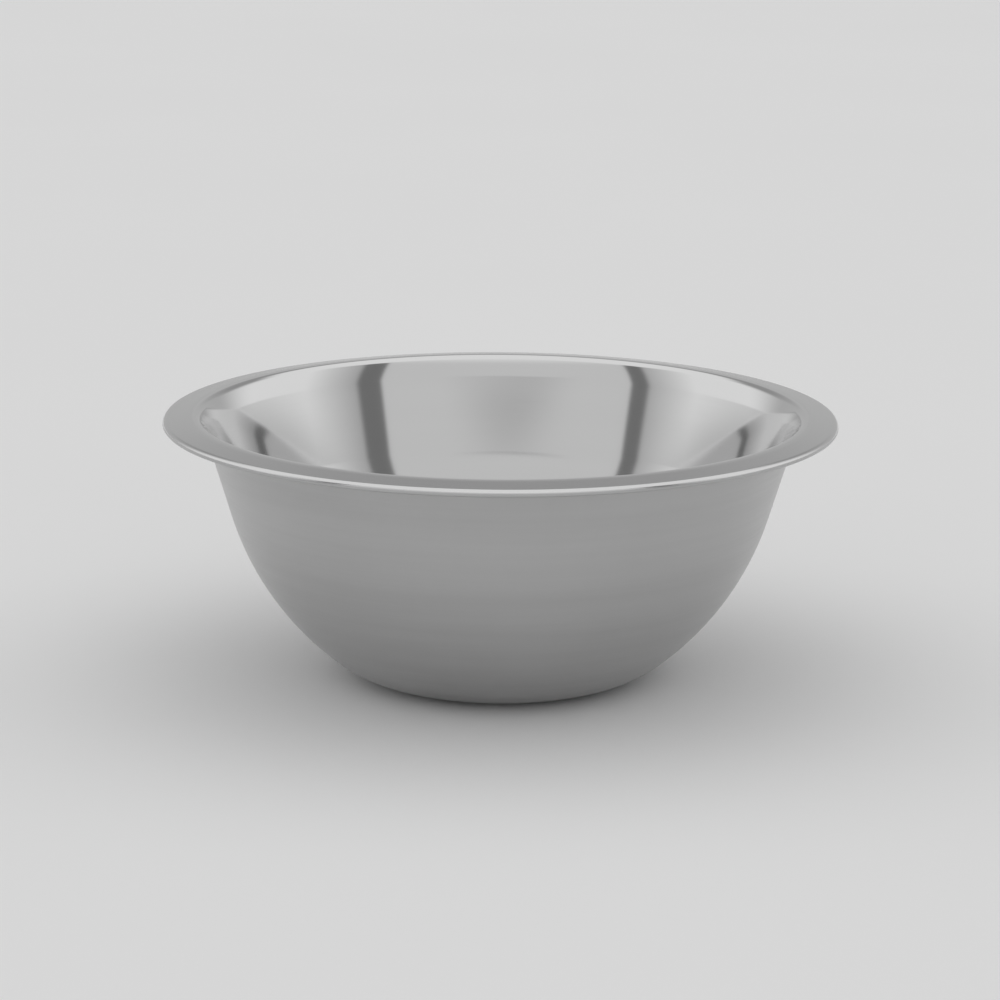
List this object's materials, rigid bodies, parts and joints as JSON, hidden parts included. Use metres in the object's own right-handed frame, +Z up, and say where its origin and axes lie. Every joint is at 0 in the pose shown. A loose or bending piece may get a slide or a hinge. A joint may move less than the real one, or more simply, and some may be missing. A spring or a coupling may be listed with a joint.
{
  "type": "mixing bowl",
  "caption": "Round mixing bowl pressed from thin stainless steel, with a flat base, a rounded flaring wall, a sloping flange and a rolled edge.",
  "frame": {"origin": "centre of the flat base, on the surface the bowl stands on", "axes": "+Z up along the bowl's own axis; the bowl is round, so +X and +Y are any two directions at right angles to it"},
  "size_m": [0.2, 0.2, 0.0795],
  "materials": {
    "stainless_steel": "spun satin outside, polished inside"
  },
  "bodies": {
    "root": {"bowl": "stainless_steel"}
  },
  "joints": []
}
